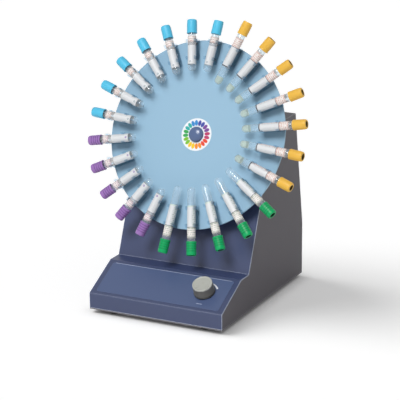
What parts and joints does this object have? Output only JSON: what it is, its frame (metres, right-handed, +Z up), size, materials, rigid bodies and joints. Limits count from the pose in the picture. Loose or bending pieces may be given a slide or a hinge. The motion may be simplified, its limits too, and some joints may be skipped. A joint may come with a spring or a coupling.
{
  "type": "tube rotator",
  "caption": "Bench tube rotator: a leaning wedge housing with a sloping control panel and a speed knob carries a round disc with capped sample tubes clipped around its rim.",
  "frame": {"origin": "centre of the four feet, on the bench plane", "axes": "+Z up, -Y towards the front lip and the disc's face, +X to the right seen from the front"},
  "size_m": [0.3719, 0.3053, 0.4423],
  "materials": {
    "slate_paint": "fine-textured satin powder coat",
    "grey_paint": "fine-textured satin powder coat",
    "zinc_steel": "zinc plated",
    "bright_steel": "ground",
    "aluminium": "machined",
    "disc_blue": "satin sky blue",
    "foot_rubber": "matte",
    "film": "satin printed film",
    "knob_grey": "satin",
    "black_plastic": "moulded",
    "board_green": "solder mask",
    "component_dark": "moulded",
    "brass": "turned",
    "lead_red": "insulation",
    "hub_slate": "gloss",
    "sticker_white": "printed",
    "clip_clear": "clear moulded plastic",
    "tube_clear": "clear",
    "label_paper": "coated paper",
    "gel": "soft translucent gel",
    "stopper_rubber": "matte",
    "cap_yellow": "moulded",
    "cap_blue": "moulded",
    "cap_purple": "moulded",
    "cap_green": "moulded"
  },
  "bodies": {
    "housing": {"front_panel": "slate_paint", "rear_cover": "grey_paint", "side_panel_left": "grey_paint", "side_panel_right": "grey_paint", "base_plate": "grey_paint", "base_screws": "zinc_steel", "rubber_feet": "foot_rubber", "foot_screws": "zinc_steel", "control_film": "film", "potentiometer": "component_dark", "pot_washer": "zinc_steel", "pot_nut": "zinc_steel", "control_board": "board_green", "board_components": "component_dark", "board_standoffs": "brass", "board_screws": "zinc_steel", "power_inlet": "black_plastic", "inlet_nut": "zinc_steel", "switch_body": "black_plastic", "wire_harness": "lead_red", "bearing_housing": "aluminium", "bearing_screws": "zinc_steel", "bearing_outer_rings": "bright_steel", "bracket_posts": "aluminium", "post_screws": "zinc_steel", "motor_bracket": "zinc_steel", "gearbox": "zinc_steel", "gearbox_screws": "zinc_steel", "motor": "zinc_steel"},
    "rotor": {"bearing_inner_rings": "bright_steel", "gearbox_shaft": "bright_steel", "shaft_coupling": "aluminium", "grub_screws": "zinc_steel", "spindle": "bright_steel", "hub_flange": "aluminium", "drive_pins": "bright_steel", "disc": "disc_blue", "hub_washer": "zinc_steel", "hub_screw": "zinc_steel", "hub_cap": "hub_slate", "centre_sticker": "sticker_white", "tube_clips": "clip_clear", "clip_screws": "zinc_steel", "short_tubes": "tube_clear", "long_tubes": "tube_clear", "short_labels": "label_paper", "long_labels": "label_paper", "separator_gel": "gel", "tube_stoppers": "stopper_rubber", "yellow_caps": "cap_yellow", "blue_caps": "cap_blue", "purple_caps": "cap_purple", "green_caps": "cap_green"},
    "knob": {"speed_knob": "knob_grey", "pot_shaft": "bright_steel"},
    "rocker": {"power_rocker": "black_plastic"}
  },
  "joints": [
    {"name": "disc_spin", "type": "hinge", "parent": "housing", "child": "rotor", "pos_m": [0, -0.00296, 0.26507], "axis": [0, -0.9239, 0.3827], "continuous": true},
    {"name": "speed_knob_turn", "type": "hinge", "parent": "housing", "child": "knob", "pos_m": [0.069, -0.11513, 0.04996], "axis": [0, 0.4477, -0.8942], "range_deg": [0, 300]},
    {"name": "power_rocker_tilt", "type": "hinge", "parent": "housing", "child": "rocker", "pos_m": [0.072, 0.1504, 0.051], "axis": [1, 0, 0], "range_deg": [0, 18]}
  ]
}
